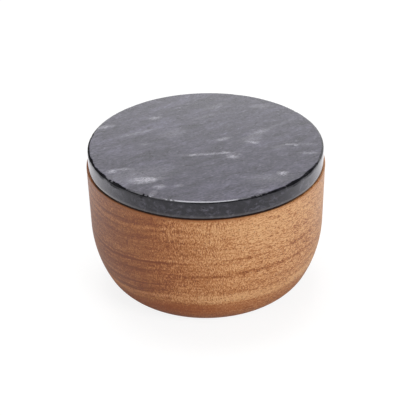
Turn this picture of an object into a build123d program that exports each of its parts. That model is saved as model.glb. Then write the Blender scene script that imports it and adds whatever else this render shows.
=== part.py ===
from build123d import *
import math
import os

# A round salt cellar: a turned wooden bowl closed by a flat marble lid. The lid has a spigot that drops
# into the mouth, and a silicone ring in a groove round the spigot. Millimetres, +Z up, with the origin at
# the centre of the base, on the surface that the bowl stands on.

# Bowl, outside
RIM_RADIUS = 52.5
BOWL_HEIGHT = 60.0
WALL_DRAFT_DEG = 1.55
BELLY_CENTRE_HEIGHT = 33.6
HEEL_RADIUS = 18.4
RIM_CHAMFER = 0.5

# Bowl, inside
RIM_WIDTH = 8.5
MOUTH_DEPTH = 7.0
FLOOR_THICKNESS = 9.0
COVE_RADIUS = 15.0

# Lid
LID_INSET = 0.75
LID_THICKNESS = 8.0
LID_TOP_CHAMFER = 0.6
LID_UNDER_CHAMFER = 0.4
SPIGOT_DEPTH = 4.4
SPIGOT_CLEARANCE = 1.5
SPIGOT_CHAMFER = 0.5

# Groove in the spigot, and the ring that sits in it
GROOVE_DROP = 1.2
GROOVE_HEIGHT = 2.2
GROOVE_DEPTH = 1.5
RING_SEAT_CLEARANCE = 0.05
RING_MOUTH_CLEARANCE = 0.25
RING_BODY_PROUD = 0.25
LIP_ROOT_HEIGHT = 1.1
LIP_TIP_HEIGHT = 0.5
LIP_RISE = 0.25

# Radii and heights that follow from the sizes above
mouth_radius = RIM_RADIUS - RIM_WIDTH
lid_radius = RIM_RADIUS - LID_INSET
spigot_radius = mouth_radius - SPIGOT_CLEARANCE
spigot_bottom = BOWL_HEIGHT - SPIGOT_DEPTH
groove_top = BOWL_HEIGHT - GROOVE_DROP
groove_bottom = groove_top - GROOVE_HEIGHT
groove_radius = spigot_radius - GROOVE_DEPTH
wall_draft = math.radians(WALL_DRAFT_DEG)
wall_slope = math.tan(wall_draft)


def turned(section):
    """Turns a flat section, drawn as radius and height, into a solid of revolution about Z."""
    return revolve(Plane.XZ * section, Axis.Z)


def bowl_blank():
    """The outside of the bowl: drafted wall, belly on a sphere about the axis, rounded heel and flat base."""
    belly_radius = (RIM_RADIUS - (BOWL_HEIGHT - BELLY_CENTRE_HEIGHT) * wall_slope) * math.cos(wall_draft)
    wall_foot = (belly_radius * math.cos(wall_draft), BELLY_CENTRE_HEIGHT - belly_radius * math.sin(wall_draft))
    belly_foot = (math.sqrt(belly_radius**2 - BELLY_CENTRE_HEIGHT**2), 0)
    wall = Line((RIM_RADIUS, BOWL_HEIGHT), wall_foot)
    belly = TangentArc(wall_foot, belly_foot, tangent=wall % 1)
    base = Polyline(belly_foot, (0, 0), (0, BOWL_HEIGHT), (RIM_RADIUS, BOWL_HEIGHT))
    section = make_face(wall + belly + base)
    heel_corner = section.vertices().sort_by_distance(belly_foot)[0]
    return turned(fillet(heel_corner, HEEL_RADIUS))


def bowl_hollow():
    """The space inside the bowl: a straight mouth for the seal, a drafted wall and a cove down to a flat floor."""
    mouth_foot = BOWL_HEIGHT - MOUTH_DEPTH
    floor_radius = mouth_radius - (mouth_foot - FLOOR_THICKNESS) * wall_slope
    outline = Polyline(
        (0, BOWL_HEIGHT),
        (mouth_radius, BOWL_HEIGHT),
        (mouth_radius, mouth_foot),
        (floor_radius, FLOOR_THICKNESS),
        (0, FLOOR_THICKNESS),
        (0, BOWL_HEIGHT),
    )
    hollow = turned(make_face(outline))
    cove_edge = hollow.edges().filter_by(GeomType.CIRCLE).sort_by(Axis.Z)[0]
    return fillet(cove_edge, COVE_RADIUS)


def make_bowl():
    """Bowl with both edges of its rim eased."""
    bowl = bowl_blank() - bowl_hollow()
    rim_edges = bowl.edges().filter_by(GeomType.CIRCLE).filter_by_position(Axis.Z, BOWL_HEIGHT, BOWL_HEIGHT)
    return chamfer(rim_edges, RIM_CHAMFER)


def make_lid():
    """Marble disc with a chamfered edge above, an edge break below and a grooved spigot, as one stone."""
    lid_top = BOWL_HEIGHT + LID_THICKNESS
    outline = Polyline(
        (0, lid_top),
        (lid_radius - LID_TOP_CHAMFER, lid_top),
        (lid_radius, lid_top - LID_TOP_CHAMFER),
        (lid_radius, BOWL_HEIGHT + LID_UNDER_CHAMFER),
        (lid_radius - LID_UNDER_CHAMFER, BOWL_HEIGHT),
        (spigot_radius, BOWL_HEIGHT),
        (spigot_radius, groove_top),
        (groove_radius, groove_top),
        (groove_radius, groove_bottom),
        (spigot_radius, groove_bottom),
        (spigot_radius, spigot_bottom + SPIGOT_CHAMFER),
        (spigot_radius - SPIGOT_CHAMFER, spigot_bottom),
        (0, spigot_bottom),
        (0, lid_top),
    )
    return turned(make_face(outline))


def make_seal_ring():
    """Silicone ring: a band that fills the groove, and a rising lip that reaches towards the mouth's wall."""
    bottom = groove_bottom + RING_SEAT_CLEARANCE
    top = groove_top - RING_SEAT_CLEARANCE
    inner_radius = groove_radius + RING_SEAT_CLEARANCE
    band_radius = spigot_radius + RING_BODY_PROUD
    tip_radius = mouth_radius - RING_MOUTH_CLEARANCE
    middle = (bottom + top) / 2
    tip_middle = middle + LIP_RISE
    outline = Polyline(
        (inner_radius, bottom),
        (band_radius, bottom),
        (band_radius, middle - LIP_ROOT_HEIGHT / 2),
        (tip_radius, tip_middle - LIP_TIP_HEIGHT / 2),
        (tip_radius, tip_middle + LIP_TIP_HEIGHT / 2),
        (band_radius, middle + LIP_ROOT_HEIGHT / 2),
        (band_radius, top),
        (inner_radius, top),
        (inner_radius, bottom),
    )
    return turned(make_face(outline))


os.makedirs("parts", exist_ok=True)
for name, piece in {"bowl": make_bowl(), "lid": make_lid(), "seal_ring": make_seal_ring()}.items():
    export_step(piece, f"parts/{name}.step")
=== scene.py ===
import math

import bmesh
import bpy
from mathutils import Matrix, Vector, noise


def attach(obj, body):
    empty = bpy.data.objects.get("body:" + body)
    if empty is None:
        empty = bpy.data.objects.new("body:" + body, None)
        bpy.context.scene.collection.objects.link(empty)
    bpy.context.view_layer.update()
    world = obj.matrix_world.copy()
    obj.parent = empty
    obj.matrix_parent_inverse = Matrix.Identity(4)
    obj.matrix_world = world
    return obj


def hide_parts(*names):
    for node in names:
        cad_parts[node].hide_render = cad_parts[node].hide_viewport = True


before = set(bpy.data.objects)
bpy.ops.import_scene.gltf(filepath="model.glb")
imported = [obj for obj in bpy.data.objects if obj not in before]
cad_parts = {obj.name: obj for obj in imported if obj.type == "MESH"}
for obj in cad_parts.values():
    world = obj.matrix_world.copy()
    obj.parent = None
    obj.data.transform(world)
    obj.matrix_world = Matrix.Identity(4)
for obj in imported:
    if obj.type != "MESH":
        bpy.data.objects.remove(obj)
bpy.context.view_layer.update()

# A salt cellar: a turned wooden bowl and a flat marble lid, with a seal ring between them.
# Sections are drawn in millimetres, as radius and height, and the scene is in metres.
MM = 0.001

# Bowl
RIM_RADIUS = 52.5
BOWL_HEIGHT = 60.0
WALL_DRAFT = math.radians(1.55)
BELLY_CENTRE_HEIGHT = 33.6
HEEL_RADIUS = 18.4
RIM_WIDTH = 8.5
RIM_ROUND = 0.6
MOUTH_DEPTH = 7.0
FLOOR_THICKNESS = 9.0
COVE_RADIUS = 15.0

# Lid
LID_INSET = 0.75
LID_THICKNESS = 8.0
LID_LOWER_ROUND = 0.45
SPIGOT_CLEARANCE = 1.5
SPIGOT_DEPTH = 4.4
SPIGOT_CHAMFER = 0.5
GROOVE_DROP = 1.2
GROOVE_HEIGHT = 2.2
GROOVE_DEPTH = 1.5
EDGE_ROUND = 0.12

# Top edge of the lid: a flat bevel over a soft shoulder, with drops measured from the lid's top
BEVEL_WIDTH = 1.04
BEVEL_DROP = 0.45
BEVEL_INNER_ROUND = 0.4
BEVEL_OUTER_ROUND = 0.8
SHOULDER_HEAD_DROP = 1.0
SHOULDER_FOOT_DROP = 1.8
SHOULDER_ROUND = 4.5

# The flat of the top starts this far in from the side, past the widest wear of the edge
TOP_FLAT_INSET = 2.8

# The wear starts this far above the shoulder's foot
WEAR_START = 0.2

# A ring of points this far under the shoulder keeps the shading of the shoulder off the side
GUARD_DROP = 0.3

# Radii and heights that follow
MOUTH_RADIUS = RIM_RADIUS - RIM_WIDTH
MOUTH_FOOT = BOWL_HEIGHT - MOUTH_DEPTH
LID_RADIUS = RIM_RADIUS - LID_INSET
LID_TOP = BOWL_HEIGHT + LID_THICKNESS
SPIGOT_RADIUS = MOUTH_RADIUS - SPIGOT_CLEARANCE
SPIGOT_BOTTOM = BOWL_HEIGHT - SPIGOT_DEPTH
GROOVE_RADIUS = SPIGOT_RADIUS - GROOVE_DEPTH
GROOVE_TOP = BOWL_HEIGHT - GROOVE_DROP
GROOVE_BOTTOM = GROOVE_TOP - GROOVE_HEIGHT
SHOULDER_HEAD = LID_TOP - SHOULDER_HEAD_DROP
SHOULDER_FOOT = LID_TOP - SHOULDER_FOOT_DROP

# How finely the forms are divided: steps along a section in millimetres, and sides round the axis
CURVE_STEP = 0.9
BASE_STEP = 3.0
LID_FLAT_STEP = 4.0
RIM_STEP = 0.1
SHOULDER_STEP = 0.25
EDGE_STEP = 0.06
BOWL_SIDES = 384
LID_SIDES = 1200

# The step along the arc of a rounded corner is never under this share of its radius
FINEST_SHARE = 0.05

# Points nearer than this, in millimetres, are one point
SAME_POINT = 1e-6

# Noise lies about this value, evenly to both sides
NOISE_MIDDLE = 0.5

# Camera, fitted to the photograph: the place looked at, and the view of it
LOOK_AT = Vector((0, 0, LID_TOP / 2)) * MM
CAMERA_DISTANCE = 700 * MM
CAMERA_ELEVATION = math.radians(30.15)
CAMERA_ROLL = math.radians(-1.06)
CAMERA_CLIP = 10 * MM
PHOTO_SIDE_PX = 416
FOCAL_LENGTH_PX = 1560.35
SENSOR_WIDTH = 36.0
LOOK_AT_PX = (206.21, 210.4)
PHOTO_CENTRE_PX = (PHOTO_SIDE_PX - 1) / 2

# Lamps: name, place in metres, width, height, radiance where 1 looks white, and whether gloss mirrors it
SOFTBOXES = [
    ("overhead", (-0.10, 0.24, 1.16), 0.95, 0.60, 2.5, True),
    ("overhead_core", (-0.03, 0.20, 1.16), 0.50, 0.36, 7.0, True),
    ("key", (0.75, -0.90, 0.62), 0.60, 0.60, 8.8, False),
    ("fill", (-0.70, -0.90, 0.70), 0.80, 0.80, 1.0, True),
    ("back", (0.0, 1.30, 0.42), 0.80, 0.40, 1.9, True),
]

# Room: its light, what gloss mirrors of it, and the part of the sphere of directions that is white to gloss.
# In each pair the white starts at the first number and is full at the second
ROOM_LIGHT = 0.20
ROOM_MIRRORED = 0.10
WHITE_BEHIND = (0.5, 0.7)
WHITE_BELOW = (0.66, 0.36)
WHITE_RIGHT_OF = (-0.36, -0.14)

# Floor, in metres. It lies just under the base, so that the two faces don't fight in a view from below
FLOOR_DROP = 0.1 * MM
FLOOR_RADIUS = 2.5
FLOOR_SIDES = 96

# How light the floor is: as light bounces off it, as the camera sees it, and in a mirroring surface
FLOOR_BOUNCE = 0.75
FLOOR_SEEN = 0.20
FLOOR_LIFT = 0.85
FLOOR_MIRRORED = 0.80

# Extra light of the floor in mirroring surfaces: how much, its tint, and where it fades in and out,
# in metres along Y from the front and from the axis outwards
FLOOR_GLOW = 0.6
GLOW_TINT = (0.95, 0.93, 1.0, 1)
GLOW_FROM_FRONT = (-0.12, 0.02)
GLOW_FROM_MIDDLE = (0.08, 0.14)
GLOW_FROM_FAR = (0.30, 0.15)


def line(a, b, step):
    """Points from a to b about one step apart, both ends included."""
    count = max(1, round(math.dist(a, b) / step))
    return [(a[0] + (b[0] - a[0]) * n / count, a[1] + (b[1] - a[1]) * n / count) for n in range(count + 1)]


def arc(centre, radius, start, end, step):
    """Points of an arc between two angles, both in radians and measured up from the horizontal."""
    count = max(2, round(abs(end - start) * radius / step))
    angles = [start + (end - start) * n / count for n in range(count + 1)]
    return [(centre[0] + radius * math.cos(t), centre[1] + radius * math.sin(t)) for t in angles]


def rounded(points, radius, step):
    """Points of a polyline with each inner corner rounded by an arc, as far as its two sides allow.

    A corner with a third number is rounded by that radius. Each arc has a point on the straight just
    before and just after it, so that smooth shading of the arc doesn't reach along the straight.
    """
    out = [points[0]]
    for before, corner, after in zip(points, points[1:], points[2:]):
        radius_here = corner[2] if len(corner) == 3 else radius
        corner = Vector(corner[:2])
        into = Vector(before[:2]) - corner
        onto = Vector(after[:2]) - corner
        half = into.angle(onto) / 2
        reach = min(radius_here / math.tan(half), into.length / 2, onto.length / 2)
        centre = corner + (into.normalized() + onto.normalized()).normalized() * reach / math.cos(half)
        first = corner + into.normalized() * reach - centre
        last = corner + onto.normalized() * reach - centre
        start = math.atan2(first.y, first.x)
        turn = (math.atan2(last.y, last.x) - start + math.pi) % (2 * math.pi) - math.pi
        before_arc = corner + into.normalized() * min(reach + step, into.length / 2)
        after_arc = corner + onto.normalized() * min(reach + step, onto.length / 2)
        arc_step = max(step, first.length * FINEST_SHARE)
        out += [before_arc[:], *arc(centre, first.length, start, start + turn, arc_step), after_arc[:]]
    return [*out, points[-1][:2]]


def joined(*runs):
    """One list of points from several, with no point twice in a row."""
    points = []
    for run in runs:
        for point in run:
            if not points or math.dist(points[-1], point) > SAME_POINT:
                points.append(point)
    return points


def turned(name, section, sides, shape=None):
    """An object turned about Z from radius and height points in millimetres.

    shape(radius, height, angle) may give a point another radius and height. An angle of 0 is the front.
    """
    mesh = bmesh.new()
    rings = []
    for radius, height in section:
        if radius < SAME_POINT:
            rings.append([mesh.verts.new((0, 0, height * MM))])
            continue
        ring = []
        for n in range(sides):
            angle = 2 * math.pi * n / sides
            out, up = shape(radius, height, angle) if shape else (radius, height)
            ring.append(mesh.verts.new((out * math.sin(angle) * MM, -out * math.cos(angle) * MM, up * MM)))
        rings.append(ring)
    for low, high in zip(rings, rings[1:]):
        for side in range(sides):
            following = (side + 1) % sides
            if len(low) == 1:
                mesh.faces.new((low[0], high[following], high[side]))
            elif len(high) == 1:
                mesh.faces.new((low[side], low[following], high[0]))
            else:
                mesh.faces.new((low[side], low[following], high[following], high[side]))
    bmesh.ops.recalc_face_normals(mesh, faces=mesh.faces)
    data = bpy.data.meshes.new(name)
    mesh.to_mesh(data)
    mesh.free()
    data.shade_smooth()
    return placed(name, data)


def placed(name, data):
    """A new object of that data, in the scene."""
    obj = bpy.data.objects.new(name, data)
    bpy.context.scene.collection.objects.link(obj)
    return obj


def grey(value):
    return (value, value, value, 1)


class Nodes:
    """The nodes of a material or world being built: most calls add a node and give back its output."""

    def __init__(self, owner):
        owner.use_nodes = True
        self.owner = owner
        self.tree = owner.node_tree
        self.tree.nodes.clear()

    def put(self, socket, value):
        if isinstance(value, bpy.types.NodeSocket):
            self.tree.links.new(value, socket)
        else:
            socket.default_value = value

    def add(self, kind, inputs=(), **settings):
        node = self.tree.nodes.new(kind)
        for key, value in settings.items():
            setattr(node, key, value)
        for key, value in dict(inputs).items():
            self.put(node.inputs[key], value)
        return node

    def calculate(self, operation, a, b=0.0, clamp=False):
        return self.add("ShaderNodeMath", {0: a, 1: b}, operation=operation, use_clamp=clamp).outputs[0]

    def plus(self, first, *others):
        for other in others:
            first = self.calculate("ADD", first, other)
        return first

    def minus(self, a, b):
        return self.calculate("SUBTRACT", a, b)

    def times(self, first, *others):
        for other in others:
            first = self.calculate("MULTIPLY", first, other)
        return first

    def size_of(self, value):
        return self.calculate("ABSOLUTE", value)

    def between(self, share, at_none, at_full):
        """at_none where share is 0, at_full where it is 1, and in proportion elsewhere."""
        return self.plus(self.times(share, at_full - at_none), at_none)

    def vector(self, operation, a, b):
        return self.add("ShaderNodeVectorMath", {0: a, 1: b}, operation=operation).outputs[0]

    def length(self, vector):
        return self.add("ShaderNodeVectorMath", {0: vector}, operation="LENGTH").outputs["Value"]

    def radius(self, x, y):
        """How far a place is from the Z axis."""
        return self.length(self.join(x, y, 0.0))

    def scaled(self, vector, factor):
        return self.add("ShaderNodeVectorMath", {0: vector, 3: factor}, operation="SCALE").outputs[0]

    def split(self, vector):
        return self.add("ShaderNodeSeparateXYZ", {0: vector}).outputs

    def join(self, x, y, z):
        return self.add("ShaderNodeCombineXYZ", {0: x, 1: y, 2: z}).outputs[0]

    def on_object(self):
        """The place on the object, in metres of the row frame at rest."""
        return self.add("ShaderNodeTexCoord").outputs["Object"]

    def millimetres(self):
        return self.scaled(self.on_object(), 1 / MM)

    def mapped(self, vector, turn=(0, 0, 0), scale=(1, 1, 1)):
        return self.add("ShaderNodeMapping", {"Vector": vector, "Rotation": turn, "Scale": scale}).outputs[0]

    def noise(self, vector, scale, detail, roughness=0.5, colour=False):
        inputs = {"Vector": vector, "Scale": scale, "Detail": detail, "Roughness": roughness}
        return self.add("ShaderNodeTexNoise", inputs).outputs["Color" if colour else "Fac"]

    def pattern(self, vector, scale, detail, roughness):
        """Noise with a scale of its own along each axis."""
        return self.noise(self.mapped(vector, scale=scale), 1.0, detail, roughness)

    def warped(self, vector, scale, amount, detail):
        """vector pushed about by noise of that scale, by up to about half of amount."""
        push = self.vector("SUBTRACT", self.noise(vector, scale, detail, colour=True), (NOISE_MIDDLE,) * 3)
        return self.vector("ADD", vector, self.vector("MULTIPLY", push, amount))

    def smooth(self, value, low, high):
        """0 at low and before, 1 at high and past it, and a smooth step between. high may be under low."""
        inputs = {"Value": value, "From Min": low, "From Max": high}
        return self.add("ShaderNodeMapRange", inputs, interpolation_type="SMOOTHSTEP").outputs[0]

    def mix(self, factor, a, b, blend="MIX"):
        node = self.add("ShaderNodeMix", data_type="RGBA", blend_type=blend)
        self.put(node.inputs[0], factor)
        self.put(node.inputs[6], a)
        self.put(node.inputs[7], b)
        return node.outputs[2]

    def ramp(self, factor, stops):
        node = self.add("ShaderNodeValToRGB", {"Fac": factor})
        elements = node.color_ramp.elements
        while len(elements) < len(stops):
            elements.new(0.5)
        for element, (place, colour) in zip(elements, stops):
            element.position = place
            element.color = colour
        return node.outputs[0]

    def blob(self, vector, middle, size, degrees, strength, below):
        """below plus strength in a soft ellipsoid of that middle and size, turned in plan by degrees."""
        turn = (0, 0, math.radians(degrees))
        inputs = {"Vector": vector, "Location": middle, "Rotation": turn, "Scale": size}
        local = self.add("ShaderNodeMapping", inputs, vector_type="TEXTURE").outputs[0]
        fade = self.add("ShaderNodeTexGradient", {"Vector": local}, gradient_type="SPHERICAL").outputs["Fac"]
        inputs = {0: fade, 1: strength, 2: below}
        return self.add("ShaderNodeMath", inputs, operation="MULTIPLY_ADD").outputs[0]

    def bump(self, height, distance):
        inputs = {"Height": height, "Distance": distance, "Strength": 1.0}
        return self.add("ShaderNodeBump", inputs).outputs[0]

    def surface(self, colour, roughness, normal, constants):
        """Ends the material in a Principled shader. constants are set on its own sockets."""
        inputs = {"Base Color": colour, "Roughness": roughness, "Normal": normal, **constants}
        return self.finished("ShaderNodeOutputMaterial", self.add("ShaderNodeBsdfPrincipled", inputs))

    def finished(self, output, shader):
        """Ends the nodes in an output of that kind, and gives back the material or world."""
        self.put(self.add(output).inputs["Surface"], shader.outputs[0])
        return self.owner


# Marble: streaks run at this angle in plan
VEIN_TURN = math.radians(29)

# Noise of the marble: scale along the streaks, across them and up, then detail and roughness
BROAD = ((0.035, 0.14, 0.12), 4.0, 0.55)
CLOUD = ((0.16, 0.42, 0.3), 5.0, 0.6)
THREAD = ((0.26, 1.3, 0.9), 4.0, 0.6)
GRAIN = ((0.8, 1.1, 1.1), 3.0, 0.6)
FRAY = ((0.8, 2.4, 1.6), 4.0, 0.75)
PATCHES = ((0.22, 0.45, 0.5), 5.0, 0.65)

# Warping of the marble: scale of the noise, how far it pushes in millimetres, and its detail
DRIFT = (0.045, (14.0, 9.0, 9.0), 2.0)
RUFFLE = (0.35, (3.2, 1.8, 1.4), 3.0)
WISP_FRAY = (0.6, (3.6, 2.4, 0.0), 4.0)
PATCH_CURL = (0.25, (4.0, 4.0, 3.0), 2.0)

# Clouds of the marble: share of the fine ones in them, and their colours
CLOUD_SHARE = 0.45
MARBLE_TONES = [
    (0.36, (0.039, 0.038, 0.049, 1)),
    (0.50, (0.066, 0.062, 0.084, 1)),
    (0.66, (0.115, 0.108, 0.152, 1)),
]

# Pale and dark streaks: the noise at which each starts and is full, its strength and its colour
PALE_STREAK = (0.53, 0.72)
PALE_STREAK_STRENGTH = 0.7
PALE_STREAK_COLOUR = (0.170, 0.163, 0.205, 1)
DARK_STREAK = (0.46, 0.30)
DARK_STREAK_STRENGTH = 0.6
DARK_STREAK_COLOUR = (0.022, 0.022, 0.026, 1)
GRAIN_TONES = [(0.25, grey(0.5)), (0.75, grey(1.5))]

# Pale wisps have gaps: the noise where a gap is full and where it ends, and the strength in it and outside
WISP_COLOUR = (0.42, 0.41, 0.46, 1)
WISP_GAPS = (0.41, 0.59)
WISP_STRENGTH = (0.2, 1.1)
WISP_HALF_DEPTH = 3.0

# The wisps: middle on the lid's top in millimetres, half of the length and of the width, angle in degrees,
# and strength
WISPS = [
    (-45.0, 18.0, 6, 2.0, 20, 0.9),
    (-22.5, 26.0, 4, 2.0, 10, 0.8),
    (-30.0, 11.5, 14, 1.6, 25, 0.5),
    (-14.0, 10.5, 9, 5.0, 25, 0.3),
    (-26.5, 0.5, 4, 1.5, 10, 0.3),
    (-4.5, -10.0, 12, 1.6, 5, 0.35),
    (-5.5, -10.0, 2, 1.2, 0, 0.8),
    (0.0, 26.5, 9, 1.5, 28, 0.3),
    (8.0, 4.3, 5, 1.6, 25, 0.9),
    (4.0, -9.3, 13, 1.3, 6, 0.5),
    (8.5, -8.8, 4, 1.4, 4, 0.7),
    (11.5, -12.3, 3.5, 2.4, -10, 1.1),
    (14.4, -10.0, 2, 1.0, 0, 0.5),
    (24.0, 10.0, 7, 3.5, 40, 0.4),
    (20.0, 3.5, 7, 4.0, 25, 0.35),
    (20.3, 0.7, 3.5, 1.7, -10, 0.8),
    (22.0, -0.2, 2, 1.2, 0, 1.0),
    (25.5, 36.0, 6, 3.0, 5, 0.4),
    (36.0, -2.0, 4, 1.2, 10, 0.8),
    (39.5, -2.8, 1.5, 1.2, 0, 0.9),
    (44.5, -10.2, 6, 1.5, -3, 0.6),
    (43.5, -2.0, 8, 1.5, 0, 0.35),
    (31.5, -4.5, 4, 2.5, 0, 0.3),
    (29.5, 14.5, 22, 1.6, 38, 0.2),
    (4.5, 36.5, 9, 2.5, 35, 0.3),
    (-40.0, -23.5, 3, 2.0, 20, 1.0),
    (-35.0, -22.0, 5, 1.6, 0, 0.7),
    (-26.5, -32.0, 7.5, 3.6, 8, 1.3),
    (-22.5, -31.0, 6, 2.0, 5, 0.7),
    (-19.5, -37.6, 3.5, 2.4, 20, 0.9),
    (-11.5, -37.2, 3, 1.6, 0, 0.5),
    (-22.5, -44.0, 5, 2.0, 60, 0.5),
    (-31.0, -28.0, 26, 9.0, 15, 0.3),
    (32.2, -28.0, 3.5, 2.6, 0, 1.0),
    (27.0, -32.0, 14, 6.0, 0, 0.3),
    (22.5, -43.0, 3, 1.8, 0, 0.4),
]

# The lid's bevel and side are polished: where the polish starts and is full, as a radius and as a height
POLISH_RADIUS = (LID_RADIUS - 2.15, LID_RADIUS - 1.55)
POLISH_HEIGHT = (LID_TOP - 0.01, LID_TOP - 0.10)

# Polished side: share of the paler patches beside the grain, colours of the two, and strength of the wisps
PATCH_SHARE = 0.75
EDGE_TONES = [
    (0.38, (0.001, 0.001, 0.0015, 1)),
    (0.50, (0.010, 0.0095, 0.0135, 1)),
    (0.66, (0.080, 0.076, 0.097, 1)),
]
WISPS_ON_SIDE = 0.4

# Painted shade: a black line just below the bevel, in place of the dark reflection there: where it starts
# and is full, and its strength
PAINTED_DARK_LINE_HEIGHT = (LID_TOP - 1.6, LID_TOP - 1.0)
PAINTED_DARK_LINE_STRENGTH = 0.8
PAINTED_DARK_LINE_COLOUR = (0.001, 0.001, 0.002, 1)

# Painted highlight along the lid's lower arris, paler as painted reflection at the far left and right: in
# each pair the second strength is the one at the left, and the second colour the one at the far left and
# right
ARRIS_HIGHLIGHT_TOP = (BOWL_HEIGHT + 1.9, BOWL_HEIGHT + 0.8)
ARRIS_HIGHLIGHT_FOOT = (BOWL_HEIGHT + 0.3, BOWL_HEIGHT + 0.6)
ARRIS_HIGHLIGHT_LEFT = (-25.0, -42.0)
ARRIS_HIGHLIGHT_STRENGTH = (0.40, 0.95)
ARRIS_HIGHLIGHT_ASIDE = (36.0, 50.0)
ARRIS_HIGHLIGHT_COLOURS = ((0.13, 0.12, 0.12, 1), (0.30, 0.27, 0.26, 1))

# Roughness of the marble where its clouds are weakest and strongest, what polish takes off it, and relief
MARBLE_ROUGHNESS = (0.20, 0.30)
POLISH_SMOOTHING = 0.17
MARBLE_RELIEF = 0.01 * MM
THREAD_RELIEF = 0.4
MARBLE_IOR = 1.6
MARBLE_GLOSS_TINT = (0.93, 0.92, 1.0, 1)


def marble_body(nodes, drift, cloud, thread, grain):
    """Dark grey clouds along the streaks, with pale and dark threads and a fine grain."""
    broad = nodes.pattern(drift, *BROAD)
    clouds = nodes.plus(nodes.times(broad, 1 - CLOUD_SHARE), nodes.times(cloud, CLOUD_SHARE))
    pale = nodes.times(nodes.smooth(thread, *PALE_STREAK), PALE_STREAK_STRENGTH)
    dark = nodes.times(nodes.smooth(thread, *DARK_STREAK), DARK_STREAK_STRENGTH)
    colour = nodes.ramp(clouds, MARBLE_TONES)
    colour = nodes.mix(pale, colour, PALE_STREAK_COLOUR)
    colour = nodes.mix(dark, colour, DARK_STREAK_COLOUR)
    return nodes.mix(1.0, colour, nodes.ramp(grain, GRAIN_TONES), "MULTIPLY")


def marble_wisps(nodes, place, along):
    """How much of a pale wisp there is: soft spots of the list, frayed at their edges."""
    frayed = nodes.warped(place, *WISP_FRAY)
    mask = 0.0
    for across, back, half_length, half_width, degrees, strength in WISPS:
        size = (half_length, half_width, WISP_HALF_DEPTH)
        mask = nodes.blob(frayed, (across, back, LID_TOP), size, degrees, strength, mask)
    gaps = nodes.smooth(nodes.pattern(along, *FRAY), *WISP_GAPS)
    return nodes.calculate("MULTIPLY", mask, nodes.between(gaps, *WISP_STRENGTH), clamp=True)


def marble_side(nodes, x, height, along, grain, wisps):
    """Colour of the lid's polished side: dark stone, with a painted highlight on the arris below and a
    painted dark line above.
    """
    patches = nodes.pattern(nodes.warped(along, *PATCH_CURL), *PATCHES)
    tone = nodes.plus(nodes.times(patches, PATCH_SHARE), nodes.times(grain, 1 - PATCH_SHARE))
    # Painted highlight on the lower arris, paler as painted reflection towards the far left and right
    arris_highlight = nodes.times(nodes.smooth(height, *ARRIS_HIGHLIGHT_TOP), nodes.smooth(height, *ARRIS_HIGHLIGHT_FOOT))
    arris_highlight = nodes.times(arris_highlight, nodes.between(nodes.smooth(x, *ARRIS_HIGHLIGHT_LEFT), *ARRIS_HIGHLIGHT_STRENGTH))
    arris_highlight_colour = nodes.mix(nodes.smooth(nodes.size_of(x), *ARRIS_HIGHLIGHT_ASIDE), *ARRIS_HIGHLIGHT_COLOURS)
    # Painted shade: a dark line just below the bevel
    painted_dark_line = nodes.times(nodes.smooth(height, *PAINTED_DARK_LINE_HEIGHT), PAINTED_DARK_LINE_STRENGTH)
    colour = nodes.mix(arris_highlight, nodes.ramp(tone, EDGE_TONES), arris_highlight_colour)
    colour = nodes.mix(nodes.times(wisps, WISPS_ON_SIDE), colour, WISP_COLOUR)
    return nodes.mix(painted_dark_line, colour, PAINTED_DARK_LINE_COLOUR)


def marble():
    nodes = Nodes(bpy.data.materials.new("dark_veined_marble"))
    place = nodes.millimetres()
    x, y, height = nodes.split(place)
    along = nodes.mapped(place, turn=(0, 0, -VEIN_TURN))
    drift = nodes.warped(along, *DRIFT)
    ruffled = nodes.warped(drift, *RUFFLE)
    cloud = nodes.pattern(ruffled, *CLOUD)
    thread = nodes.pattern(ruffled, *THREAD)
    grain = nodes.pattern(along, *GRAIN)

    wisps = marble_wisps(nodes, place, along)
    top = nodes.mix(wisps, marble_body(nodes, drift, cloud, thread, grain), WISP_COLOUR)
    side = marble_side(nodes, x, height, along, grain, wisps)
    polish = nodes.smooth(nodes.radius(x, y), *POLISH_RADIUS)
    polish = nodes.times(nodes.smooth(height, *POLISH_HEIGHT), polish)
    roughness = nodes.between(cloud, *MARBLE_ROUGHNESS)
    roughness = nodes.minus(roughness, nodes.times(polish, POLISH_SMOOTHING))
    normal = nodes.bump(nodes.plus(grain, nodes.times(thread, THREAD_RELIEF)), MARBLE_RELIEF)
    gloss = {"IOR": MARBLE_IOR, "Specular Tint": MARBLE_GLOSS_TINT}
    return nodes.surface(nodes.mix(polish, top, side), roughness, normal, gloss)


# Wood: growth layers lie flat, one on another, and sag at the left, by up to so many millimetres
LAYER_SAG = 5.0
SAG_SPAN = (-12.0, -46.0)

# Warping of the layers: scale of the noise, how far it pushes in millimetres, and its detail
SLOW_WAVE = (0.02, (0.0, 0.0, 3.0), 1.0)
QUICK_WAVE = (0.15, (0.0, 0.0, 0.9), 2.0)
CURL_WAVE = (0.2, (0.0, 0.0, 0.8), 2.0)

# Growth layers: height in millimetres, and how light the wood is there
LAYERS = [
    (0.0, 0.32),
    (9.0, 0.39),
    (13.5, 0.46),
    (15.2, 0.50),
    (17.2, 0.76),
    (20.2, 0.78),
    (21.4, 0.50),
    (24.5, 0.52),
    (27.5, 0.58),
    (31.0, 0.50),
    (36.0, 0.55),
    (40.0, 0.60),
    (47.0, 0.56),
    (55.0, 0.68),
    (60.0, 0.62),
]

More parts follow.
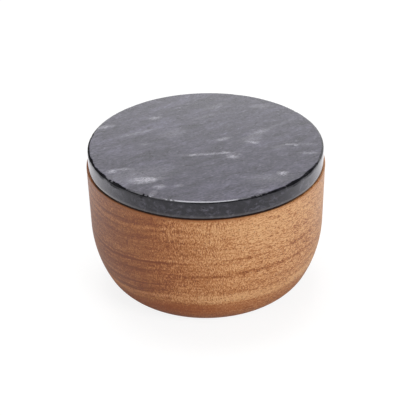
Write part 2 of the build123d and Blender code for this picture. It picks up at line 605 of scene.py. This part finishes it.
# Single growth lines: height, half of the thickness, how much lighter, and where along X each fades in and
# out
GROWTH_LINES = [
    (37.8, 1.0, -0.50, -60, -55, -26, 2),
    (38.8, 0.6, 0.16, -60, -55, -24, 0),
    (39.8, 0.6, -0.20, -60, -55, -34, -22),
    (39.6, 1.0, -0.34, 4, 14, 42, 50),
    (31.2, 1.1, -0.32, -22, -8, 4, 18),
    (32.4, 1.1, -0.32, 4, 18, 40, 48),
    (27.6, 0.6, 0.14, 8, 20, 40, 50),
    (33.4, 0.8, -0.24, -60, -50, -30, -10),
    (26.0, 0.9, -0.28, -60, -50, -20, -5),
    (22.5, 0.6, -0.20, -60, -44, -24, -8),
    (49.5, 1.4, -0.20, -60, -50, -32, -16),
    (53.6, 0.9, -0.14, -60, -44, -22, -8),
    (57.2, 1.3, -0.28, -60, -50, -28, -12),
    (12.6, 0.6, -0.20, -34, -18, -4, 8),
    (10.4, 0.6, -0.16, -20, 0, 14, 28),
]

# Noise of the wood: scale along X, along Y and up, then detail and roughness
LAYER_STREAKS = ((0.05, 0.04, 0.7), 4.0, 0.65)
END_FLECKS = ((2.6, 0.34, 2.4), 3.0, 0.7)
RAYS = ((2.8, 0.35, 0.80), 3.0, 0.7)
CURLS = ((0.95, 0.5, 3.2), 3.0, 0.65)
MOTTLE = ((0.30, 0.20, 0.25), 4.0, 0.6)
DASHES = ((0.32, 0.24, 2.2), 3.0, 0.65)

# Parts of the bowl with a look of their own, in millimetres: where each starts and is full, along Y for the
# front and along X for the others. The middle is a distance to both sides of a place left of the axis
LEFT_SPAN = (0.0, -24.0)
RIGHT_SPAN = (4.0, 26.0)
FRONT_SPAN = (2.0, -24.0)
MIDDLE_SHIFT = 4.0
MIDDLE_SPAN = (26.0, 10.0)
# The left is darker heartwood, and partly painted shade of the side away from the key lamp
HEART_AND_SHADE_SPAN = (14.0, -30.0)
REDDISH_SPAN = (5.0, -25.0)

# Strength of each pattern in the tone. A pair is the strength elsewhere and in the part named beside it
STREAK_STRENGTH_LEFT = (0.9, 1.1)
RAY_STRENGTH_MIDDLE = (0.8, 2.8)
TICK_STRENGTH_MIDDLE = (0.10, 0.24)
# Curls are strongest at the right of the front: figure of the wood, and partly painted glint where the key
# lamp falls
CURL_AND_GLINT_STRENGTH_RIGHT_FRONT = (0.6, 3.4)
MOTTLE_STRENGTH = 0.25
FLECK_STRENGTH = 1.8
HEART_AND_SHADE_DARKENING = 0.36
TONE_LIFT = 0.03

# Painted sheen: a lighter zone high at the right of the front, where the key lamp falls, and a shimmer of
# pale and dark dashes, strong in it
PAINTED_SHEEN_MIDDLE = (24.0, -44.0, 50.0)
PAINTED_SHEEN_LIGHTENING = 0.15
SHEEN_DASH_MIDDLE = (26.0, -43.0, 49.0)
SHEEN_DASH_STRENGTH = 0.18
SHEEN_DASH_IN_ZONE = 3.0
SHEEN_DASH_ELSEWHERE = 0.3
SHEEN_ZONE_SIZE = (32.0, 30.0, 20.0)

# Dashes of the painted sheen, and ticks across the grain: the noise at which each starts and is full
PALE_DASH = (0.54, 0.66)
DARK_DASH = (0.46, 0.35)
TICK = (0.44, 0.30)

# Colours of the wood, from dark to light
WOOD_TONES = [
    (0.05, (0.20, 0.050, 0.010, 1)),
    (0.50, (0.45, 0.174, 0.050, 1)),
    (0.95, (0.67, 0.385, 0.185, 1)),
]
REDDISH_TINT = (1.0, 0.86, 0.74, 1)
REDDISH_STRENGTH = 0.5

# Pores, as long cells
PORE_SCALE = (0.55, 0.05, 0.45)
PORE_EDGE = (0.20, 0.08)
PORE_STRENGTH = 0.6
PORE_COLOUR = (0.11, 0.030, 0.012, 1)

# A darker, redder foot, partly painted shade of the underside, and a darker band along the top of the wall:
# heights, strengths elsewhere and at the right, colours
RED_FOOT_AND_SHADE_HEIGHT = (17.0, 13.8)
RED_FOOT_AND_SHADE_STRENGTH = (0.55, 0.30)
RED_FOOT_AND_SHADE_COLOUR = (0.32, 0.085, 0.018, 1)
RIM_BAND_HEIGHT = (BOWL_HEIGHT - 1.7, BOWL_HEIGHT - 0.6)
RIM_BAND_STRENGTH = (0.75, 0.40)
RIM_BAND_COLOUR = (0.31, 0.10, 0.025, 1)

# Painted shadow of the gap under the lid's lower edge: a dark and dull line on the rim round it, which ends
# before the far left and right
GAP_SHADOW_INNER = (LID_RADIUS - 0.85, LID_RADIUS - 0.35)
GAP_SHADOW_OUTER = (RIM_RADIUS, RIM_RADIUS - 0.4)
GAP_SHADOW_HEIGHT = (BOWL_HEIGHT - 0.8, BOWL_HEIGHT - 0.5)
GAP_SHADOW_LEFT = (-51.0, -46.0)
GAP_SHADOW_RIGHT = (47.0, 30.0)
GAP_SHADOW_COLOUR = (0.050, 0.018, 0.008, 1)
GAP_SHADOW_ROUGHNESS = 0.35

# Roughness of the wood where the flecks are weakest and strongest, and its relief
WOOD_ROUGHNESS = (0.36, 0.56)
WOOD_RELIEF = 0.06 * MM
RAY_RELIEF = 0.8
PORE_RELIEF = 0.8
WOOD_IOR = 1.48


def growth_tone(nodes, x, level):
    """How light the growth layers are, by the height of the layer, with the single lines on them."""
    stops = [(height / BOWL_HEIGHT, grey(tone)) for height, tone in LAYERS]
    growth = nodes.ramp(nodes.calculate("DIVIDE", level, BOWL_HEIGHT), stops)
    for height, half, strength, fade_in, full_in, full_out, fade_out in GROWTH_LINES:
        apart = nodes.size_of(nodes.minus(level, height))
        here = nodes.times(nodes.smooth(x, fade_in, full_in), nodes.smooth(x, fade_out, full_out))
        growth = nodes.plus(growth, nodes.times(nodes.smooth(apart, half, 0.0), here, strength))
    return growth


def figured(nodes, tone, place, layered, flecks, rays):
    """tone with the streaks, mottle, flecks, rays and curls on it, a darker left that is partly painted
    shade, and a lighter zone of painted sheen.
    """
    x = nodes.split(place)["X"]
    y = nodes.split(place)["Y"]
    left = nodes.smooth(x, *LEFT_SPAN)
    middle = nodes.smooth(nodes.size_of(nodes.plus(x, MIDDLE_SHIFT)), *MIDDLE_SPAN)
    # Where the curls are strongest, partly as painted glint of the key lamp
    curl_and_glint_zone = nodes.times(nodes.smooth(x, *RIGHT_SPAN), nodes.smooth(y, *FRONT_SPAN))
    curled = nodes.warped(place, *CURL_WAVE)
    patterns = [
        (nodes.pattern(layered, *LAYER_STREAKS), nodes.between(left, *STREAK_STRENGTH_LEFT)),
        (nodes.pattern(place, *MOTTLE), MOTTLE_STRENGTH),
        (flecks, FLECK_STRENGTH),
        (rays, nodes.between(middle, *RAY_STRENGTH_MIDDLE)),
        (nodes.pattern(curled, *CURLS), nodes.between(curl_and_glint_zone, *CURL_AND_GLINT_STRENGTH_RIGHT_FRONT)),
    ]
    for pattern, strength in patterns:
        tone = nodes.plus(tone, nodes.times(nodes.minus(pattern, NOISE_MIDDLE), strength))
    # Darker heartwood at the left, partly painted shade of the side away from the key lamp
    tone = nodes.minus(tone, nodes.times(nodes.smooth(x, *HEART_AND_SHADE_SPAN), HEART_AND_SHADE_DARKENING))
    # Painted sheen: a lighter zone high at the right of the front
    tone = nodes.plus(tone, nodes.blob(place, PAINTED_SHEEN_MIDDLE, SHEEN_ZONE_SIZE, 0.0, PAINTED_SHEEN_LIGHTENING, 0.0))
    ticks = nodes.times(nodes.smooth(rays, *TICK), nodes.between(middle, *TICK_STRENGTH_MIDDLE))
    return nodes.plus(nodes.minus(tone, ticks), TONE_LIFT)


def sheen_dashes(nodes, place, drift):
    """Pale and dark dashes along the layers, a painted sheen that is strong in the lighter zone."""
    dashes = nodes.pattern(drift, *DASHES)
    dashes = nodes.minus(nodes.smooth(dashes, *PALE_DASH), nodes.smooth(dashes, *DARK_DASH))
    strength = nodes.blob(place, SHEEN_DASH_MIDDLE, SHEEN_ZONE_SIZE, 0.0, SHEEN_DASH_IN_ZONE, SHEEN_DASH_ELSEWHERE)
    return nodes.times(dashes, strength, SHEEN_DASH_STRENGTH)


def wood_pores(nodes, layered):
    """How much of a pore there is."""
    inputs = {"Vector": nodes.mapped(layered, scale=PORE_SCALE), "Scale": 1.0}
    cells = nodes.add("ShaderNodeTexVoronoi", inputs)
    return nodes.smooth(cells.outputs["Distance"], *PORE_EDGE)


def painted_gap_shadow(nodes, x, y, z):
    """How much of the painted gap shadow, a dark line on the rim round the lid's lower edge, there is."""
    radius = nodes.radius(x, y)
    gap_shadow = nodes.times(nodes.smooth(radius, *GAP_SHADOW_INNER), nodes.smooth(radius, *GAP_SHADOW_OUTER))
    gap_shadow = nodes.times(gap_shadow, nodes.smooth(z, *GAP_SHADOW_HEIGHT))
    return nodes.times(gap_shadow, nodes.times(nodes.smooth(x, *GAP_SHADOW_LEFT), nodes.smooth(x, *GAP_SHADOW_RIGHT)))


def wood_colour(nodes, tone, pores, x, z, level):
    """Colour of the wood by its tone, with a redder foot that is partly painted shade, a redder left, dark
    pores and a darker band under the rim.
    """
    right = nodes.smooth(x, *RIGHT_SPAN)
    # Partly painted shade: the foot darker and redder, less so at the lit right
    red_foot_and_shade = nodes.times(nodes.smooth(level, *RED_FOOT_AND_SHADE_HEIGHT), nodes.between(right, *RED_FOOT_AND_SHADE_STRENGTH))
    reddish = nodes.times(nodes.smooth(x, *REDDISH_SPAN), REDDISH_STRENGTH)
    # A darker, redder band along the top of the wall, weaker at the right
    rim_band = nodes.times(nodes.smooth(z, *RIM_BAND_HEIGHT), nodes.between(right, *RIM_BAND_STRENGTH))
    colour = nodes.ramp(tone, WOOD_TONES)
    colour = nodes.mix(red_foot_and_shade, colour, RED_FOOT_AND_SHADE_COLOUR)
    colour = nodes.mix(nodes.times(pores, PORE_STRENGTH), colour, PORE_COLOUR)
    colour = nodes.mix(reddish, colour, REDDISH_TINT, "MULTIPLY")
    return nodes.mix(rim_band, colour, RIM_BAND_COLOUR)


def wood():
    nodes = Nodes(bpy.data.materials.new("oiled_turned_wood"))
    place = nodes.millimetres()
    x, y, z = nodes.split(place)
    sag = nodes.times(nodes.smooth(x, *SAG_SPAN), LAYER_SAG)
    drift = nodes.warped(nodes.vector("ADD", place, nodes.join(0.0, 0.0, sag)), *SLOW_WAVE)
    layered = nodes.warped(drift, *QUICK_WAVE)
    level = nodes.split(layered)["Z"]
    flecks = nodes.pattern(layered, *END_FLECKS)
    rays = nodes.pattern(place, *RAYS)
    pores = wood_pores(nodes, layered)
    gap_shadow = painted_gap_shadow(nodes, x, y, z)

    tone = figured(nodes, growth_tone(nodes, x, level), place, layered, flecks, rays)
    # Pale and dark dashes of grain, a painted sheen strong at the right of the front
    tone = nodes.plus(tone, sheen_dashes(nodes, place, drift))
    # Painted shadow of the gap between lid and rim, as a dark line on the rim
    colour = nodes.mix(gap_shadow, wood_colour(nodes, tone, pores, x, z, level), GAP_SHADOW_COLOUR)
    roughness = nodes.between(flecks, *WOOD_ROUGHNESS)
    roughness = nodes.plus(roughness, nodes.times(gap_shadow, GAP_SHADOW_ROUGHNESS))
    relief = nodes.plus(flecks, nodes.times(rays, RAY_RELIEF))
    relief = nodes.minus(relief, nodes.times(pores, PORE_RELIEF))
    return nodes.surface(colour, roughness, nodes.bump(relief, WOOD_RELIEF), {"IOR": WOOD_IOR})


# Silicone of the seal ring, paler and duller where it is hazy
CLEAR_COLOUR = (0.70, 0.69, 0.66, 1)
HAZY_COLOUR = (0.84, 0.83, 0.80, 1)
HAZE = (1.4, 4.0, 0.6)
SILICONE_ROUGHNESS = (0.38, 0.53)
SILICONE_GRAIN = (3.0, 3.0)
SILICONE_RELIEF = 0.02 * MM
SILICONE_GLOW_WEIGHT = 0.25
SILICONE_GLOW_DEPTH = 2 * MM


def silicone():
    nodes = Nodes(bpy.data.materials.new("translucent_silicone"))
    place = nodes.millimetres()
    haze = nodes.noise(place, *HAZE)
    colour = nodes.mix(haze, CLEAR_COLOUR, HAZY_COLOUR)
    normal = nodes.bump(nodes.noise(place, *SILICONE_GRAIN), SILICONE_RELIEF)
    glow = {"Subsurface Weight": SILICONE_GLOW_WEIGHT, "Subsurface Scale": SILICONE_GLOW_DEPTH}
    return nodes.surface(colour, nodes.between(haze, *SILICONE_ROUGHNESS), normal, glow)


def bowl_section():
    """Outside from the middle of the base up to the rim, and the hollow down to the middle of its floor."""
    slope = math.tan(WALL_DRAFT)
    belly_radius = (RIM_RADIUS - (BOWL_HEIGHT - BELLY_CENTRE_HEIGHT) * slope) * math.cos(WALL_DRAFT)
    to_heel = belly_radius - HEEL_RADIUS
    hip_angle = -math.asin((BELLY_CENTRE_HEIGHT - HEEL_RADIUS) / to_heel)
    heel_centre = (to_heel * math.cos(hip_angle), HEEL_RADIUS)
    heel = arc(heel_centre, HEEL_RADIUS, -math.pi / 2, hip_angle, CURVE_STEP)
    belly = arc((0, BELLY_CENTRE_HEIGHT), belly_radius, hip_angle, -WALL_DRAFT, CURVE_STEP)
    rim = (RIM_RADIUS, BOWL_HEIGHT)
    mouth = (MOUTH_RADIUS, BOWL_HEIGHT)
    mouth_foot = (MOUTH_RADIUS, MOUTH_FOOT)
    cove_corner = (MOUTH_RADIUS - (MOUTH_FOOT - FLOOR_THICKNESS) * slope, FLOOR_THICKNESS)
    return joined(
        line((0, 0), heel[0], BASE_STEP),
        heel,
        belly,
        rounded([belly[-1], rim, mouth, mouth_foot], RIM_ROUND, RIM_STEP),
        rounded([mouth_foot, cove_corner, (0, FLOOR_THICKNESS)], COVE_RADIUS, CURVE_STEP),
    )


def lid_section():
    """From the middle of the spigot's underside, out over groove and rim, to the middle of the top."""
    lean = math.asin((SHOULDER_HEAD - SHOULDER_FOOT) / SHOULDER_ROUND)
    shoulder_centre = (LID_RADIUS - SHOULDER_ROUND, SHOULDER_FOOT)
    shoulder = arc(shoulder_centre, SHOULDER_ROUND, 0, lean, SHOULDER_STEP)
    bevel_foot = LID_TOP - BEVEL_DROP
    bevel_radius = shoulder[-1][0] - (bevel_foot - SHOULDER_HEAD) * math.tan(lean)
    under = line((0, SPIGOT_BOTTOM), (SPIGOT_RADIUS - LID_FLAT_STEP, SPIGOT_BOTTOM), LID_FLAT_STEP)
    lower = [
        under[-1],
        (SPIGOT_RADIUS - SPIGOT_CHAMFER, SPIGOT_BOTTOM),
        (SPIGOT_RADIUS, SPIGOT_BOTTOM + SPIGOT_CHAMFER),
        (SPIGOT_RADIUS, GROOVE_BOTTOM),
        (GROOVE_RADIUS, GROOVE_BOTTOM),
        (GROOVE_RADIUS, GROOVE_TOP),
        (SPIGOT_RADIUS, GROOVE_TOP),
        (SPIGOT_RADIUS, BOWL_HEIGHT),
        (LID_RADIUS, BOWL_HEIGHT, LID_LOWER_ROUND),
        (LID_RADIUS, SHOULDER_FOOT - GUARD_DROP),
    ]
    top = line((LID_RADIUS - TOP_FLAT_INSET, LID_TOP), (0, LID_TOP), LID_FLAT_STEP)
    upper = [
        shoulder[-1],
        (bevel_radius, bevel_foot, BEVEL_OUTER_ROUND),
        (LID_RADIUS - BEVEL_WIDTH, LID_TOP, BEVEL_INNER_ROUND),
        top[0],
    ]
    lower = rounded(lower, EDGE_ROUND, EDGE_STEP)
    upper = rounded(upper, EDGE_ROUND, EDGE_STEP)
    return joined(under, lower, shoulder, upper, top)


# Unevenness of the bevel all round: a share of its size, and a rate. The back loses twice BACK_CALM of it
UNEVENNESS = [(0.14, 9), (0.08, 40)]
BACK_CALM = 0.3

# Wear of the lid's top edge: angle from the front and half of the width, both in degrees, and how much wider
# the bevel is there, as a share of its size
EDGE_WEAR = [
    (-75, 3.0, 0.35),
    (-68, 2.0, -0.30),
    (-59, 3.0, 0.40),
    (-54.5, 1.6, -0.42),
    (-50.5, 0.8, 0.40),
    (-47.5, 4.0, 0.50),
    (-40, 3.5, -0.30),
    (-32, 2.0, 0.30),
    (-27.5, 1.0, -0.40),
    (24, 3.0, 0.15),
    (29.5, 1.0, -0.40),
    (35, 3.5, 0.10),
    (40, 0.7, -0.45),
    (46, 4.5, 0.40),
    (57, 5.0, 0.35),
    (70, 3.0, -0.25),
    (101, 2.0, 0.15),
    (127, 1.2, 0.20),
    (163, 2.5, 0.12),
    (-101, 1.5, 0.18),
    (-139, 2.5, 0.12),
]
WEAR_RAGGEDNESS = (0.5, 90)
LEAST_BEVEL = 0.25


def bevel_size(angle):
    """How large the bevel of the lid's top edge is at an angle from the front, as a share of its size."""
    around = Vector((math.cos(angle), math.sin(angle), 0))
    unevenness = sum(share * noise.noise(around * rate) for share, rate in UNEVENNESS)
    size = 1 + unevenness * (1 - BACK_CALM + BACK_CALM * math.cos(angle))
    ragged_share, ragged_rate = WEAR_RAGGEDNESS
    for middle, half, change in EDGE_WEAR:
        apart = (math.degrees(angle) - middle + 180) % 360 - 180
        if abs(apart) < half:
            fade = math.cos(apart / half * math.pi / 2)
            size += change * fade * (1 + ragged_share * noise.noise(around * ragged_rate))
    return max(size, LEAST_BEVEL)


def worn_edge(radius, height, angle):
    """Moves a point of the lid's top edge so that the bevel there is as large as bevel_size says."""
    foot = SHOULDER_FOOT + WEAR_START
    share = (height - foot) / (SHOULDER_HEAD - foot)
    if share <= 0 or radius < LID_RADIUS - BEVEL_WIDTH - BEVEL_INNER_ROUND:
        return radius, height
    size = 1 + (bevel_size(angle) - 1) * min(share, 1)
    return LID_RADIUS - (LID_RADIUS - radius) * size, LID_TOP - (LID_TOP - height) * size


def dress(obj, material, body, node):
    """Gives an object its material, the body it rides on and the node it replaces."""
    obj.data.materials.append(material)
    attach(obj, body)
    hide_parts(node)


def add_camera():
    data = bpy.data.cameras.new("camera")
    data.sensor_fit = "HORIZONTAL"
    data.sensor_width = SENSOR_WIDTH
    data.lens = FOCAL_LENGTH_PX / PHOTO_SIDE_PX * SENSOR_WIDTH
    data.shift_x = (PHOTO_CENTRE_PX - LOOK_AT_PX[0]) / PHOTO_SIDE_PX
    data.shift_y = (LOOK_AT_PX[1] - PHOTO_CENTRE_PX) / PHOTO_SIDE_PX
    data.clip_start = CAMERA_CLIP
    camera = placed("camera", data)
    away = Vector((0, -math.cos(CAMERA_ELEVATION), math.sin(CAMERA_ELEVATION)))
    aimed = (-away).to_track_quat("-Z", "Y").to_matrix().to_4x4()
    rolled = Matrix.Rotation(CAMERA_ROLL, 4, "Z")
    camera.matrix_world = Matrix.Translation(LOOK_AT + away * CAMERA_DISTANCE) @ aimed @ rolled
    bpy.context.scene.camera = camera


def add_world():
    """White to the camera, and soft grey as the room's light. Gloss sees white behind and dark elsewhere."""
    nodes = Nodes(bpy.data.worlds.new("studio"))
    x, y, z = nodes.split(nodes.add("ShaderNodeTexCoord").outputs["Generated"])
    white = nodes.times(nodes.smooth(y, *WHITE_BEHIND), nodes.smooth(z, *WHITE_BELOW))
    white = nodes.times(white, nodes.smooth(x, *WHITE_RIGHT_OF))
    path = nodes.add("ShaderNodeLightPath").outputs
    mirrored = nodes.between(white, ROOM_MIRRORED, 1.0)
    light = nodes.mix(path["Is Glossy Ray"], grey(ROOM_LIGHT), mirrored)
    seen = nodes.calculate("MAXIMUM", path["Is Camera Ray"], path["Is Transmission Ray"])
    background = nodes.add("ShaderNodeBackground", {"Color": nodes.mix(seen, light, grey(1.0))})
    bpy.context.scene.world = nodes.finished("ShaderNodeOutputWorld", background)


def floor_material():
    nodes = Nodes(bpy.data.materials.new("white_floor"))
    path = nodes.add("ShaderNodeLightPath").outputs
    seen = path["Is Camera Ray"]
    mirrored = path["Is Glossy Ray"]
    colour = nodes.mix(seen, grey(FLOOR_BOUNCE), grey(FLOOR_SEEN))
    colour = nodes.mix(mirrored, colour, grey(FLOOR_MIRRORED))
    diffuse = nodes.add("ShaderNodeBsdfDiffuse", {"Color": colour})
    place = nodes.on_object()
    distance = nodes.length(place)
    glow = nodes.times(nodes.smooth(distance, *GLOW_FROM_MIDDLE), nodes.smooth(distance, *GLOW_FROM_FAR))
    glow = nodes.times(nodes.smooth(nodes.split(place)["Y"], *GLOW_FROM_FRONT), glow)
    strength = nodes.plus(nodes.times(seen, FLOOR_LIFT), nodes.times(mirrored, FLOOR_GLOW, glow))
    tint = nodes.mix(mirrored, grey(1.0), GLOW_TINT)
    lift = nodes.add("ShaderNodeEmission", {"Color": tint, "Strength": strength})
    both = nodes.add("ShaderNodeAddShader", {0: diffuse.outputs[0], 1: lift.outputs[0]})
    return nodes.finished("ShaderNodeOutputMaterial", both)


def add_floor():
    """A wide pale floor that looks white where no shadow falls."""
    mesh = bmesh.new()
    bmesh.ops.create_circle(mesh, cap_ends=True, segments=FLOOR_SIDES, radius=FLOOR_RADIUS)
    data = bpy.data.meshes.new("floor")
    mesh.to_mesh(data)
    mesh.free()
    data.materials.append(floor_material())
    floor = placed("floor", data)
    floor.location.z = -FLOOR_DROP


def add_softbox(name, place, width, height, radiance, mirrored):
    """A rectangular lamp turned to the lid. One that isn't mirrored gives light and no glare of its own."""
    data = bpy.data.lights.new(name, "AREA")
    data.shape = "RECTANGLE"
    data.size = width
    data.size_y = height
    data.energy = radiance * width * height * math.pi
    light = placed(name, data)
    light.visible_glossy = mirrored
    light.location = place
    to_lid = Vector((0, 0, LID_TOP * MM)) - Vector(place)
    light.rotation_euler = to_lid.to_track_quat("-Z", "Y").to_euler()


bowl = turned("turned_bowl", bowl_section(), BOWL_SIDES)
dress(bowl, wood(), "bowl", "bowl")
lid = turned("marble_lid", lid_section(), LID_SIDES, worn_edge)
dress(lid, marble(), "lid", "lid")
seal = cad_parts["seal_ring"]
seal.data.materials.clear()
seal.data.materials.append(silicone())

add_camera()
add_world()
add_floor()
for softbox in SOFTBOXES:
    add_softbox(*softbox)
bpy.context.scene.view_settings.view_transform = "Standard"
